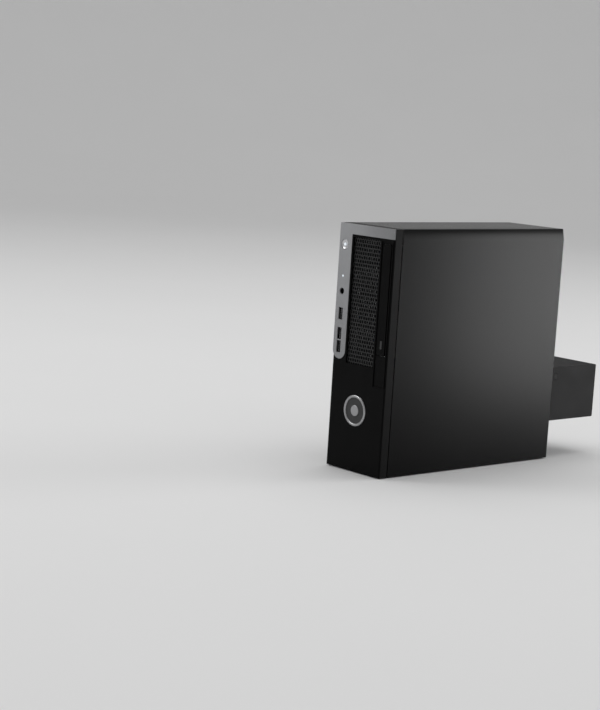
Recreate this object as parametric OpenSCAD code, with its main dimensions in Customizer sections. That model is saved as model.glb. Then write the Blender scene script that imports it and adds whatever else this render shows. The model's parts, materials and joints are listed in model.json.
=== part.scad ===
// Small-form-factor desktop computer, standing upright.
// The case is drawn with Y = 0 at its front plane and is moved so that the origin is at the
// bottom centre of the whole object: +Z up, front towards -Y, removable side cover towards +X.

/* [Case] */
// Width of the case over the side feet
case_w = 92.6; // [92:0.2:96]
// Height of the case over the bottom feet
case_h = 290; // [290:1:296]
// Depth of the case, front plane to rear edge of the side cover
case_d = 292; // [292:1:298]
// Thickness of the steel sheet
steel = 1; // [0.8:0.1:1]
// Height of the rubber feet under the case
foot_h = 1.5; // [1:0.1:1.5]

/* [Front] */
// Depth of the plastic front bezel
bezel_depth = 13; // [13:0.1:13.2]
// Wall of the plastic front bezel
bezel_wall = 2.2; // [2:0.1:2.4]
// Width of the silver port strip
strip_w = 21; // [20:0.5:21]
// Length of the silver port strip, from the top
strip_l = 160; // [158:1:165]
// Height of the silver band across the top
band_h = 12; // [10:0.5:12]
// Width of the recessed grille
grille_w = 46; // [44:0.5:46]
// Height of the recessed grille
grille_h = 148; // [140:1:150]
// Diameter of the round badge
badge_d = 37; // [34:0.5:40]
// Distance of the badge centre below the top
badge_drop = 217; // [205:1:225]

/* [Cable cover] */
// How far the clip-on cable cover stands out behind the case
cable_d = 88; // [60:1:95]
// Height of its lower edge above the ground
cable_low = 48; // [48:0.5:52]
// Height of its upper edge above the ground
cable_high = 116; // [112:1:117]
// Wall of the cable cover
cable_wall = 2; // [1.6:0.1:2.4]

/* [Travel and clearance] */
// Radial clearance of turning parts
run_gap = 0.06; // [0.03:0.01:0.1]
// Gap around buttons and the disc tray
button_gap = 0.3; // [0.2:0.05:0.4]

/* [Hidden] */
$fn = 48;

// Case planes. side_feet stand out by one sheet thickness beyond the base plate.
front_y = -(case_d + cable_d) / 2;
x_left = -case_w / 2 + 1;
x_right = case_w / 2;
z_low = foot_h;
z_high = case_h;
inner_left = x_left + steel;
inner_right = x_right - steel;
sheet_gap = 0.1;
panel_y = bezel_depth + 1.4;
rear_y = case_d - 2;
cover_front_y = bezel_depth + 1.2;

// Front face: everything on the port strip shares one centre line.
face_y = 0.6;
trim_t = 1.6;
port_x = x_left + 9.2;
button_z = z_high - 25;
drive_led_z = z_high - 62;
headset_z = z_high - 80;
front_usb_z = [z_high - 106.5, z_high - 130, z_high - 145.5];
grille_x = x_left + 23;
grille_z = z_high - band_h - 3 - grille_h;
badge_x = -2;
badge_z = z_high - badge_drop;
button_r = 5.7;
hinge = [x_left + 1.1, bezel_depth];
clip_z = [40, 120, 277];

// USB-A receptacle: shell outside size (thin, wide) and sheet.
usb_t = 6.1;
usb_w = 13.5;
usb_sheet = 0.5;
front_port_y = [3.4, 21];

// Optical drive: its middle plane, and the window of its tray in the bezel.
drive_x = x_right - 11.6;
drive_t = 12.6;
drive_w = 127.6;
drive_z = z_high - 82.5;
drive_y = [10, 136];
window_gap = 0.7;
hub_y = 72;
disc_r = 60.5;

// Boxes of the inner units, as low and high corners.
board_lo = [-38, 60, 80];
board_hi = [-36.4, 288.5, 286];
hdd_lo = [0.5, 24, 158];
hdd_hi = [25.9, 171, 259.6];
psu_lo = [-43, 140, 5];
psu_hi = [43, rear_y - 0.2, 70];
board_top = board_hi.x + 0.1;

// CPU cooler: fan centre and stack along X.
cooler_y = 218;
cooler_z = 160;
cooler_half = 40;
cpu_fan_x = [-4.5, 10.5];

// Power supply fan and mains inlet, on the rear.
psu_fan_x = 16;
psu_fan_z = 37;
psu_fan_y = [rear_y - 16, rear_y - 0.4];
inlet_x = -24;
inlet_z = 35;

// Rear ports, heights of their centres.
lan_z = 91;
rear_usb_z = [109, 126];
display_z = [146, 166];
audio_z = 184;
rear_port_y = [268, rear_y + 1.4];
slot_z = [z_high - 52, z_high - 31.7];

// Memory: two sockets side by side, one latch each at the front end.
memory_z = [94, 104.5];
memory_y = [112, 250];
latch_y = memory_y[0] - 3.5;
latch_x = board_top + 6;
latch_pin_r = 0.8;

// Cover latch knob and the padlock loop on the rear.
knob_lo = [20, rear_y + 1.3, z_high - 16];
knob_hi = [36, rear_y + 4.5, z_high - 5];
loop_x = 28;
loop_z = 212;
screw_y = 300;
screw_z = 104;
mount_pitch = 100;
mount_y = 153;
mount_z = 145;

module in_case() translate([0, front_y, 0]) children();

module block(lo, hi) translate(lo) cube([hi.x - lo.x, hi.y - lo.y, hi.z - lo.z]);

module rod_x(r, x0, x1, y, z) translate([x0, y, z]) rotate([0, 90, 0]) cylinder(r = r, h = x1 - x0);

module rod_y(r, y0, y1, x, z) translate([x, y0, z]) rotate([-90, 0, 0]) cylinder(r = r, h = y1 - y0);

module rod_z(r, z0, z1, x, y) translate([x, y, z0]) cylinder(r = r, h = z1 - z0);

// An XZ outline pulled along Y.
module along_y(y0, y1) translate([0, y1, 0]) rotate([90, 0, 0]) linear_extrude(y1 - y0) children();

// A box with its two front vertical edges rounded.
module front_rounded(x0, x1, y0, y1, z0, z1, r) translate([0, 0, z0]) linear_extrude(z1 - z0) {
    translate([x0, y0 + r]) square([x1 - x0, y1 - y0 - r]);
    translate([x0 + r, y0]) square([x1 - x0 - 2 * r, r]);
    translate([x0 + r, y0 + r]) circle(r);
    translate([x1 - r, y0 + r]) circle(r);
}

// A box with all four rear edges rounded.
module rear_rounded(lo, hi, r) intersection() {
    translate([0, 0, lo.z]) linear_extrude(hi.z - lo.z) {
        translate([lo.x, lo.y]) square([hi.x - lo.x, hi.y - lo.y - r]);
        translate([lo.x + r, lo.y]) square([hi.x - lo.x - 2 * r, hi.y - lo.y]);
        translate([lo.x + r, hi.y - r]) circle(r);
        translate([hi.x - r, hi.y - r]) circle(r);
    }
    union() {
        block(lo, [hi.x, hi.y - r, hi.z]);
        block([lo.x, lo.y, lo.z + r], [hi.x, hi.y, hi.z - r]);
        rod_x(r, lo.x, hi.x, hi.y - r, lo.z + r);
        rod_x(r, lo.x, hi.x, hi.y - r, hi.z - r);
    }
}

// A box that is open towards +Y and has one wall thickness on the other five sides.
module open_rear_box(lo, hi, wall) difference() {
    block(lo, hi);
    block([lo.x + wall, lo.y + wall, lo.z + wall], [hi.x - wall, hi.y + 1, hi.z - wall]);
}

// L-shaped outline of the silver trim, grown by grow on its free edges.
module trim_outline(grow = 0) {
    r = strip_w / 2;
    translate([x_left, z_high - strip_l + r]) square([strip_w + grow, strip_l - r]);
    translate([x_left + r, z_high - strip_l + r]) circle(r + grow);
    translate([x_left, z_high - strip_l + r]) square([r, r]);
    translate([x_left, z_high - band_h - grow]) square([x_right - x_left, band_h + grow]);
}

// Holes for the button, the lights and the sockets of the port strip.
module strip_holes(y0, y1, gap) {
    rod_y(button_r + button_gap, y0, y1, port_x, button_z);
    rod_y(1.4, y0, y1, port_x, drive_led_z);
    rod_y(3.4 + gap, y0, y1, port_x, headset_z);
    for (z = front_usb_z) {
        block([port_x - usb_t / 2 - gap, y0, z - usb_w / 2 - gap],
            [port_x + usb_t / 2 + gap, y1, z + usb_w / 2 + gap]);
    }
}

module front_bezel() color([0.07, 0.07, 0.075]) in_case() {
    tray_half_t = drive_t / 2 + window_gap;
    tray_half_w = drive_w / 2 + window_gap;
    difference() {
        front_rounded(x_left, x_right, face_y, bezel_depth, z_low, z_high, 2);
        block([x_left + bezel_wall, face_y + bezel_wall, z_low + bezel_wall],
            [x_right - bezel_wall, bezel_depth + 1, z_high - bezel_wall]);
        along_y(-1, trim_t) trim_outline(0.05);
        strip_holes(-1, face_y + bezel_wall + 1, 0.8);
        block([grille_x, -1, grille_z], [grille_x + grille_w, 4, grille_z + grille_h]);
        block([drive_x - 9, -1, z_high - 184], [drive_x + 9, trim_t, z_high - band_h - 3]);
        block([drive_x - tray_half_t, -1, drive_z - tray_half_w],
            [drive_x + tray_half_t, 4, drive_z + tray_half_w]);
        block([x_right - 2, -1, z_high - 184], [x_right - 1.1, face_y + 1.5, z_high - band_h - 3]);
        rod_y(badge_d / 2 + 0.5, -1, trim_t + 0.2, badge_x, badge_z);
        rod_y(4.5, -1, 5, badge_x, badge_z);
    }
    for (z = clip_z) {
        block([x_right - 5.6, face_y + 1, z - 5], [x_right - 4, panel_y + 3, z + 5]);
        block([x_right - 5.6, bezel_depth - 2, z - 5], [x_right - 2, bezel_depth - 1, z + 5]);
        rod_z(1.1, z - 6, z + 6, hinge.x, hinge.y);
    }
}

module silver_trim() color([0.72, 0.73, 0.75]) in_case() difference() {
    along_y(0, trim_t - 0.05) trim_outline();
    strip_holes(-1, trim_t + 1, 0.35);
}

module front_grille() color([0.04, 0.04, 0.045]) in_case() {
    y0 = face_y + bezel_wall;
    pitch = 5.2;
    rows = 8;
    row_h = grille_h / rows;
    difference() {
        block([grille_x - 1.2, y0 + 0.05, grille_z - 1.5],
            [grille_x + grille_w + 1.2, y0 + 1.6, grille_z + grille_h + 1.5]);
        for (i = [0 : 7], j = [0 : rows - 1]) {
            block([grille_x + 3 + i * pitch, y0 - 1, grille_z + 2 + j * row_h],
                [grille_x + 6.4 + i * pitch, y0 + 3, grille_z + row_h - 2 + j * row_h]);
        }
    }
}

// Plain ring around a plain centre disc, on a stem that lets it turn a quarter turn.
module front_badge() color([0.75, 0.76, 0.78]) in_case() translate([badge_x, 0, badge_z])
    rotate([-90, 0, 0]) difference() {
        union() {
            cylinder(r = badge_d / 2, h = trim_t);
            cylinder(r = 4.5 - run_gap, h = 5.4);
            translate([0, 0, 5.4]) cylinder(r = 6, h = 1.2);
        }
        difference() {
            translate([0, 0, -0.1]) cylinder(r = badge_d / 2 - 3.5, h = 0.9);
            cylinder(r = 7, h = 2);
        }
    }

module power_button() color([0.6, 0.61, 0.63]) in_case() translate([port_x, 0, button_z])
    rotate([-90, 0, 0]) difference() {
        union() {
            cylinder(r = button_r, h = 4.2);
            translate([0, 0, 3]) cylinder(r = 6.7, h = 1.2);
            cylinder(r = 2.6, h = 10.4);
        }
        translate([0, 0, -1]) cylinder(r = 1.7, h = 9);
    }

module power_led() color([0.9, 0.95, 1]) in_case() rod_y(1.65, 0.1, 7.8, port_x, button_z);

module drive_led() color([0.85, 0.9, 0.95]) in_case() rod_y(1.35, 0.1, 11, port_x, drive_led_z);

module headset_jack() color([0.05, 0.05, 0.05]) in_case() difference() {
    union() {
        rod_y(3.4, front_port_y[0] + 1, 12, port_x, headset_z);
        block([port_x - 3, 10, headset_z - 4], [port_x + 4, 24, headset_z + 4]);
    }
    rod_y(1.8, front_port_y[0] - 1, 20, port_x, headset_z);
}

// Shell of one USB-A receptacle lying on a board that is parallel to the YZ plane.
module usb_shell(x, z, ys) difference() {
    block([x - usb_t / 2, ys[0], z - usb_w / 2], [x + usb_t / 2, ys[1], z + usb_w / 2]);
    block([x - usb_t / 2 + usb_sheet, ys[0] - 1, z - usb_w / 2 + usb_sheet],
        [x + usb_t / 2 - usb_sheet, ys[1] + 1, z + usb_w / 2 - usb_sheet]);
}

module usb_tongue(x, z, ys) {
    block([x - 2, ys[0], z - 5.5], [x, ys[1], z + 5.5]);
}

module front_usb_shells() color([0.62, 0.62, 0.64]) in_case() for (z = front_usb_z) {
    usb_shell(port_x, z, front_port_y);
}

module usb_tongues() color([0.03, 0.03, 0.03]) in_case() {
    for (z = front_usb_z) usb_tongue(port_x, z, [front_port_y[0] + 2, front_port_y[1] - 0.5]);
    for (z = rear_usb_z, k = [0, 1]) {
        usb_tongue(rear_usb_x(k), z, [rear_port_y[0] + 1, rear_port_y[1] - 2]);
    }
}

module front_io_board() color([0.05, 0.22, 0.12]) in_case() difference() {
    block([port_x - 5, 17, z_high - 158], [port_x - 3.4, 52, z_high - 16]);
    for (z = [z_high - 152, z_high - 40]) rod_x(1.6, port_x - 6, port_x, 46, z);
}

module power_switch() color([0.1, 0.1, 0.1]) in_case() {
    block([port_x - 3.2, panel_y + 0.6, button_z - 4], [port_x + 4, panel_y + 9, button_z + 4]);
    rod_y(1.8, 11.9, panel_y + 1, port_x, button_z);
}

// Small speaker behind the lower front, with a round cone.
module speaker() color([0.09, 0.09, 0.09]) in_case() translate([badge_x, panel_y + 2, 40]) {
    difference() {
        block([-22, 0, -20], [22, 18, 20]);
        rod_y(17, -1, 7, 0, 0);
    }
    rod_y(5.5, 2, 7.5, 0, 0);
}

module chassis_base() color([0.62, 0.63, 0.65]) in_case() difference() {
    union() {
        block([x_left, panel_y, z_low], [inner_left, case_d - 1, z_high]);
        for (dy = [-1, 1], dz = [-1, 1]) {
            mount_boss(4, x_left, x_left + 5, dy, dz);
        }
    }
    for (dy = [-1, 1], dz = [-1, 1]) {
        mount_boss(2, x_left - 1, x_left + 6, dy, dz);
    }
}

// Cylinder at one corner of the mounting pattern.
module mount_boss(r, x0, x1, dy, dz) {
    rod_x(r, x0, x1, mount_y + dy * mount_pitch / 2, mount_z + dz * mount_pitch / 2);
}

module chassis_front_panel() color([0.6, 0.61, 0.63]) in_case() difference() {
    union() {
        block([inner_left + sheet_gap, panel_y, z_low + 1.6], [x_right - 2.4, panel_y + steel, z_high - 7]);
        block([inner_left + sheet_gap, panel_y, 80], [inner_left + 1, panel_y + 10, 128]);
    }
    block([port_x - 6, 0, z_high - 162], [port_x + 6, 30, z_high - 14]);
    block([drive_x - 7.2, 0, drive_z - 65], [drive_x + 7.2, 30, drive_z + 65]);
    for (z = clip_z) block([x_right - 7, 0, z - 7], [x_right - 3.2, 30, z + 7]);
    for (i = [0 : 4], j = [0 : 3]) {
        block([grille_x + 3 + i * 8.4, 0, grille_z + 4 + j * 36],
            [grille_x + 9 + i * 8.4, 30, grille_z + 32 + j * 36]);
    }
    for (i = [-2 : 2]) block([badge_x + i * 6 - 1.5, 0, 28], [badge_x + i * 6 + 1.5, 30, 52]);
}

module chassis_rear_panel() color([0.58, 0.59, 0.6]) in_case() difference() {
    block([inner_left + sheet_gap, rear_y, z_low], [x_right - 2.4, rear_y + steel, z_high]);
    port_cut(board_top - 0.5, 17, lan_z, 17);
    for (z = rear_usb_z) port_cut(board_top - 0.5, 16, z, usb_w + 1);
    for (z = display_z) port_cut(board_top - 0.5, 8, z, 17.5);
    rod_y(4, rear_y - 1, rear_y + 2, -32.2, audio_z);
    for (z = slot_z) port_cut(-28, 64, z, 12);
    block([inlet_x - 14.5, rear_y - 1, inlet_z - 11], [inlet_x + 14.5, rear_y + 2, inlet_z + 11]);
    for (a = [0 : 60 : 300]) {
        translate([psu_fan_x, 0, psu_fan_z]) rotate([0, a, 0]) {
            block([8, rear_y - 1, -3], [20, rear_y + 2, 3]);
        }
    }
    for (i = [0 : 6]) block([-8 + i * 6.4, rear_y - 1, 124], [-4 + i * 6.4, rear_y + 2, 196]);
    block([knob_lo.x - 4, rear_y - 1, z_high - 12.5], [knob_lo.x + 8, rear_y + 2, z_high - 8.5]);
    block([14, rear_y - 1, 210.5], [21, rear_y + 2, 213.5]);
    block([34.6, rear_y - 1, z_low - 1], [x_right, rear_y + 2, z_low + steel + 0.3]);
    block([34.6, rear_y - 1, z_high - steel - 0.3], [x_right, rear_y + 2, z_high + 1]);
    block([x_right - 4, rear_y - 1, z_high - 14], [x_right, rear_y + 2, z_high + 1]);
}

// Opening for a port whose low edge in X is x0.
module port_cut(x0, depth, z, width) {
    block([x0, rear_y - 1, z - width / 2], [x0 + depth, rear_y + 2, z + width / 2]);
}

// The cover's edges lap over the joggled edges of the top and bottom walls.
module chassis_top_wall() color([0.6, 0.61, 0.63]) in_case()
    along_y(panel_y + steel + sheet_gap, rear_y - sheet_gap) {
        translate([inner_left + sheet_gap, z_high - steel]) square([78.3, steel]);
        translate([33, z_high - 2.4]) square([steel, 2.4]);
        translate([33, z_high - 2.4]) square([9, steel]);
    }

module chassis_bottom_wall() color([0.6, 0.61, 0.63]) in_case()
    along_y(panel_y + steel + sheet_gap, rear_y - sheet_gap) {
        translate([inner_left + sheet_gap, z_low]) square([78.3, steel]);
        translate([33, z_low]) square([steel, 2.4]);
        translate([33, z_low + 1.4]) square([9, steel]);
    }

// Sheet cover: flat face, sloping strip along the top, and lips along the top, bottom and rear.
module side_cover() color([0.1, 0.1, 0.105]) in_case() {
    slope_x = 2.5;
    slope_z = 13;
    along_y(cover_front_y, case_d) polygon([
        [35, z_low], [x_right, z_low], [x_right, z_high - slope_z], [x_right - slope_x, z_high],
        [35, z_high], [35, z_high - steel], [x_right - slope_x - 0.8, z_high - steel],
        [inner_right, z_high - slope_z - 0.1], [inner_right, z_low + steel], [35, z_low + steel]]);
    block([38, case_d - 0.85, z_low], [inner_right + 0.5, case_d, cable_low - 4]);
    block([38, case_d - 0.85, cable_high + 4], [inner_right + 0.5, case_d, z_high - slope_z]);
}

// Sliding catch: knob outside, neck through the slot, bar inside.
module cover_latch() color([0.09, 0.12, 0.3]) in_case() {
    block(knob_lo, knob_hi);
    for (i = [0 : 2]) {
        block([knob_lo.x + 3 + i * 4, knob_hi.y, knob_lo.z + 1.5],
            [knob_lo.x + 4.6 + i * 4, knob_hi.y + 0.8, knob_hi.z - 1.5]);
    }
    block([knob_lo.x + 2.5, rear_y - 2, z_high - 12.2], [knob_lo.x + 7.6, knob_lo.y + 1, z_high - 8.8]);
    block([knob_lo.x - 1, rear_y - 2.5, knob_lo.z + 2], [knob_hi.x - 3, rear_y - 0.4, knob_hi.z - 1]);
}

module bottom_feet() color([0.05, 0.05, 0.05]) in_case() for (x = [-30, 30], y = [32, 262]) {
    rod_z(7, 0, z_low - 0.01, x, y);
}

module side_feet() color([0.05, 0.05, 0.05]) in_case() for (z = [30, 262], y = [35, 262]) {
    rod_x(8, x_left - 1, x_left - 0.01, y, z);
}

module padlock_loop() color([0.6, 0.6, 0.62]) in_case() difference() {
    union() {
        block([loop_x - 1, rear_y + steel + 0.05, loop_z - 8], [loop_x + 1, rear_y + 7, loop_z + 8]);
        rod_x(8, loop_x - 1, loop_x + 1, rear_y + 9, loop_z);
        block([loop_x - 8, rear_y + steel + 0.05, loop_z + 3.5], [loop_x, rear_y + 2.6, loop_z + 8]);
    }
    rod_x(4.5, loop_x - 9, loop_x + 2, rear_y + 9, loop_z);
    block([loop_x - 9, rear_y - 2, loop_z - 9], [loop_x + 2, rear_y + steel + 0.05, loop_z + 9]);
}

// Plastic hood over the plugs: open towards the case, with a cable exit in its floor.
module cable_cover() color([0.09, 0.09, 0.095]) in_case() {
    lo = [-42, case_d + 0.2, cable_low];
    hi = [x_right - 1.6, case_d + cable_d, cable_high];
    w = cable_wall;
    difference() {
        rear_rounded(lo, hi, 5);
        rear_rounded([lo.x + w, lo.y - 1, lo.z + w], [hi.x - w, hi.y - w, hi.z - w], 5 - w);
        block([-14, lo.y - 1, lo.z - 1], [18, hi.y - 40, lo.z + w + 1]);
        rod_x(3.7, hi.x - 1.3, hi.x + 1, screw_y, screw_z);
        rod_x(2.1, hi.x - w - 1, hi.x + 1, screw_y, screw_z);
    }
}

// Steel arms on the rear panel. The right one is forked, so the loosened screw slides out of it.
module cable_cover_bracket() color([0.6, 0.61, 0.63]) in_case() {
    y0 = rear_y + steel + 0.05;
    x1 = x_right - 1.6 - cable_wall - 0.4;
    difference() {
        union() {
            block([x1 - 1.2, y0 + 0.9, screw_z - 8], [x1, screw_y + 7, screw_z + 5]);
            block([x1 - 8, y0, screw_z - 8], [x1, y0 + 1, screw_z + 5]);
            rod_x(3.6, x1 - 4, x1, screw_y, screw_z);
        }
        rod_x(1.75, x1 - 5, x1 + 1, screw_y, screw_z);
        block([x1 - 5, screw_y, screw_z - 1.75], [x1 + 1, screw_y + 8, screw_z + 1.75]);
    }
    block([-39.4, y0 + 0.9, 56], [-38.2, screw_y + 7, 74]);
    block([-39.4, y0, 56], [-30, y0 + 1, 74]);
}

// Captive thumb screw with a coin slot.
module cable_cover_screw() color([0.03, 0.03, 0.03]) in_case() {
    x1 = x_right - 1.4;
    difference() {
        rod_x(3.4, x1 - 1.4, x1, screw_y, screw_z);
        block([x1 - 0.6, screw_y - 4, screw_z - 0.5], [x1 + 1, screw_y + 4, screw_z + 0.5]);
    }
    rod_x(1.75 - run_gap, x1 - 8, x1 - 1, screw_y, screw_z);
}

// Hole centres of the motherboard, as [y, z].
function board_holes() = [for (y = [68, 174, 262], z = [86, 205, 279]) [y, z]];

module motherboard() color([0.04, 0.2, 0.11]) in_case() difference() {
    block(board_lo, board_hi);
    for (p = board_holes()) rod_x(1.9, board_lo.x - 1, board_hi.x + 1, p[0], p[1]);
}

module board_standoffs() color([0.75, 0.68, 0.45]) in_case() for (p = board_holes()) difference() {
    rod_x(3, inner_left, board_lo.x, p[0], p[1]);
    rod_x(1.6, inner_left + 1, board_lo.x + 1, p[0], p[1]);
}

module board_screws() color([0.7, 0.7, 0.72]) in_case() for (p = board_holes()) {
    rod_x(1.55, inner_left + 1.2, board_hi.x + 0.5, p[0], p[1]);
    rod_x(3, board_hi.x, board_hi.x + 2, p[0], p[1]);
}

module cpu_socket() color([0.13, 0.13, 0.13]) in_case() difference() {
    block([board_top, cooler_y - 24, cooler_z - 24], [board_top + 3, cooler_y + 24, cooler_z + 24]);
    block([board_top + 1, cooler_y - 19, cooler_z - 19], [board_top + 4, cooler_y + 19, cooler_z + 19]);
}

module cpu_package() color([0.7, 0.71, 0.72]) in_case() {
    for (layer = [[1.1, 2.5, 18.7], [2.4, 5, 15]]) {
        block([board_top + layer[0], cooler_y - layer[2], cooler_z - layer[2]],
            [board_top + layer[1], cooler_y + layer[2], cooler_z + layer[2]]);
    }
}

// Finned block with a solid base.
module finned(lo, hi, base, count, fin) {
    block(lo, [lo.x + base, hi.y, hi.z]);
    for (i = [0 : count - 1]) {
        z = lo.z + i * (hi.z - lo.z - fin) / (count - 1);
        block([lo.x + base - 0.5, lo.y, z], [hi.x, hi.y, z + fin]);
    }
}

module cpu_heatsink() color([0.78, 0.79, 0.8]) in_case() finned(
    [board_top + 5.1, cooler_y - cooler_half, cooler_z - cooler_half],
    [cpu_fan_x[0] - 0.2, cooler_y + cooler_half, cooler_z + cooler_half], 4, 15, 1);

module chipset_heatsink() color([0.75, 0.76, 0.78]) in_case() finned(
    [board_top + 1.5, 100, 216], [board_top + 14, 138, 254], 3, 9, 1.2);

// Square fan frame with a round duct, three struts and a motor seat. Its axis is +Z here.
module fan_frame(half, duct_r, hub_r, depth) difference() {
    union() {
        difference() {
            translate([-half, -half, 0]) cube([2 * half, 2 * half, depth]);
            translate([0, 0, -1]) cylinder(r = duct_r, h = depth + 2);
        }
        cylinder(r = hub_r, h = 2);
        for (a = [0 : 120 : 240]) rotate([0, 0, a]) translate([0, -1.5, 0]) cube([duct_r + 1, 3, 1.6]);
        cylinder(r = 1.5, h = depth - 3);
    }
    for (x = [-1, 1], y = [-1, 1]) {
        translate([x * (half - 4), y * (half - 4), -1]) cylinder(r = 1.6, h = depth + 2);
    }
}

// Rotor with seven pitched blades, bored to run on the frame's post.
module fan_rotor(tip_r, hub_r, depth, base) difference() {
    union() {
        translate([0, 0, base]) cylinder(r = hub_r, h = depth - base);
        intersection() {
            for (i = [0 : 6]) rotate([0, 0, i * 360 / 7]) translate([hub_r - 2, -3, base + 1]) {
                rotate([38, 0, 0]) cube([tip_r, depth - base - 2.5, 1.2]);
            }
            translate([0, 0, base]) cylinder(r = tip_r, h = depth - base);
        }
    }
    translate([0, 0, base - 1]) cylinder(r = 1.5 + run_gap, h = depth - base - 1);
}

module on_cpu_fan() translate([cpu_fan_x[0], cooler_y, cooler_z]) rotate([0, 90, 0]) children();

module on_psu_fan() translate([psu_fan_x, psu_fan_y[1], psu_fan_z]) rotate([90, 0, 0]) children();

module cpu_fan_frame() color([0.08, 0.08, 0.08]) in_case() on_cpu_fan() fan_frame(40, 37.5, 15, 15);

module cpu_fan_rotor() color([0.12, 0.12, 0.12]) in_case() on_cpu_fan() fan_rotor(36.3, 14, 14.5, 2.6);

module power_supply_fan_frame() color([0.08, 0.08, 0.08]) in_case() on_psu_fan() fan_frame(25, 23.5, 9, 15);

module power_supply_fan_rotor() color([0.12, 0.12, 0.12]) in_case() on_psu_fan() {
    fan_rotor(22.5, 8.5, 14.5, 2.6);
}

module memory_sockets() color([0.1, 0.1, 0.12]) in_case() for (z = memory_z) {
    difference() {
        block([board_top, memory_y[0] - 6, z - 3.2], [board_top + 7.5, memory_y[1] + 4, z + 3.2]);
        block([board_top + 2.5, memory_y[0] + 0.2, z - 0.9], [board_top + 9, memory_y[1] + 1, z + 0.9]);
        block([board_top + 1.5, memory_y[0] - 7, z - 1.9], [board_top + 9, memory_y[0] + 0.3, z + 1.9]);
    }
    rod_z(latch_pin_r, z - 3, z + 3, latch_x, latch_y);
}

module memory_modules() color([0.05, 0.25, 0.14]) in_case() for (z = memory_z) {
    block([board_top + 2.6, memory_y[0] + 2, z - 0.65], [board_top + 33, memory_y[1] - 2.5, z + 0.65]);
    for (i = [0 : 7]) {
        y = memory_y[0] + 8 + i * 15.8;
        block([board_top + 14, y, z + 0.6], [board_top + 25, y + 10, z + 1.7]);
    }
}

// Ejector latch of a memory socket: arm above its pivot, with a finger tab.
module memory_latch(z) {
    difference() {
        union() {
            rod_z(1.9, z - 1.5, z + 1.5, latch_x, latch_y);
            block([latch_x, latch_y - 1.6, z - 1.5], [latch_x + 16, latch_y + 1.6, z + 1.5]);
            block([latch_x + 14, latch_y - 5, z - 1.5], [latch_x + 16, latch_y, z + 1.5]);
        }
        rod_z(latch_pin_r + run_gap, z - 3, z + 3, latch_x, latch_y);
    }
}

module memory_latch_front() color([0.85, 0.86, 0.88]) in_case() memory_latch(memory_z[0]);

module memory_latch_rear() color([0.85, 0.86, 0.88]) in_case() memory_latch(memory_z[1]);

// Card-shaped drive on its edge connector.
module ssd_module() color([0.04, 0.16, 0.3]) in_case() {
    x0 = board_top + 2.5;
    block([x0, 72, 114], [x0 + 0.8, 152, 136]);
    for (i = [0 : 2]) block([x0 + 0.7, 80 + i * 21, 118], [x0 + 2, 96 + i * 21, 132]);
}

module coin_cell() color([0.78, 0.78, 0.79]) in_case() {
    rod_x(10, board_top + 1.6, board_top + 4.8, 158, 184);
}

// Sockets and headers in the board's plastics: edge slots, power and drive headers.
module board_connectors() color([0.12, 0.12, 0.13]) in_case() {
    for (z = slot_z) difference() {
        block([board_top, 184, z - 3.7], [board_top + 11, 262, z + 3.7]);
        block([board_top + 3, 187, z - 0.9], [board_top + 12, 259, z + 0.9]);
    }
    block([board_top, 153, 112], [board_top + 6, 158, 138]);
    block([board_top, 64, 150], [board_top + 11, 74, 172]);
    block([board_top, 64, 184], [board_top + 9, 72, 196]);
    block([board_top, 150, 262], [board_top + 11, 160, 282]);
    difference() {
        block([board_top, 146, 172], [board_top + 4, 170, 196]);
        rod_x(10.4, board_top + 1.2, board_top + 6, 158, 184);
    }
}

// Blanking plates of the two low-profile slots, with the bent tab that the screw holds.
module slot_blanks() color([0.68, 0.69, 0.7]) in_case() for (z = slot_z) {
    difference() {
        block([-31, rear_y - 1.1, z - 9], [43, rear_y - 0.1, z + 9]);
        for (i = [0 : 5]) block([-24 + i * 9, rear_y - 2, z - 4], [-19 + i * 9, rear_y + 1, z + 4]);
    }
    block([42, rear_y - 12, z - 9], [43, rear_y - 0.1, z + 9]);
    rod_x(3, 41, 44.4, rear_y - 6, z);
}

function rear_usb_x(k) = board_top + 3.6 + k * 7.6;

module rear_usb_shells() color([0.62, 0.62, 0.64]) in_case() for (z = rear_usb_z, k = [0, 1]) {
    usb_shell(rear_usb_x(k), z, rear_port_y);
}

module network_jack() color([0.55, 0.56, 0.58]) in_case() difference() {
    block([board_top, rear_port_y[0], lan_z - 8], [board_top + 15.5, rear_port_y[1], lan_z + 8]);
    block([board_top + 3, rear_port_y[0] + 3, lan_z - 6], [board_top + 12, rear_port_y[1] + 1, lan_z + 6]);
}

module display_ports() color([0.5, 0.5, 0.52]) in_case() for (z = display_z) difference() {
    block([board_top + 0.3, rear_port_y[0] + 4, z - 8.2], [board_top + 6.5, rear_port_y[1], z + 8.2]);
    block([board_top + 1.1, rear_port_y[0] + 8, z - 7.4], [board_top + 5.7, rear_port_y[1] + 1, z + 7.4]);
    block([board_top - 1, rear_port_y[0] + 3, z + 7], [board_top + 2.3, rear_port_y[1] + 2, z + 9]);
}

module rear_audio_jack() color([0.2, 0.5, 0.25]) in_case() difference() {
    union() {
        block([board_top, rear_port_y[0] + 8, audio_z - 4.5], [board_top + 9, rear_y - 0.5, audio_z + 4.5]);
        rod_y(3.7, rear_y - 1, rear_port_y[1], board_top + 4.1, audio_z);
    }
    rod_y(1.8, rear_port_y[0] + 10, rear_port_y[1] + 1, board_top + 4.1, audio_z);
}

module power_supply_case() color([0.66, 0.67, 0.68]) in_case() difference() {
    open_rear_box(psu_lo, psu_hi, 0.8);
    for (i = [0 : 9]) block([-36 + i * 7.4, psu_lo.y - 1, 20], [-32.4 + i * 7.4, psu_lo.y + 2, 56]);
}

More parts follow.
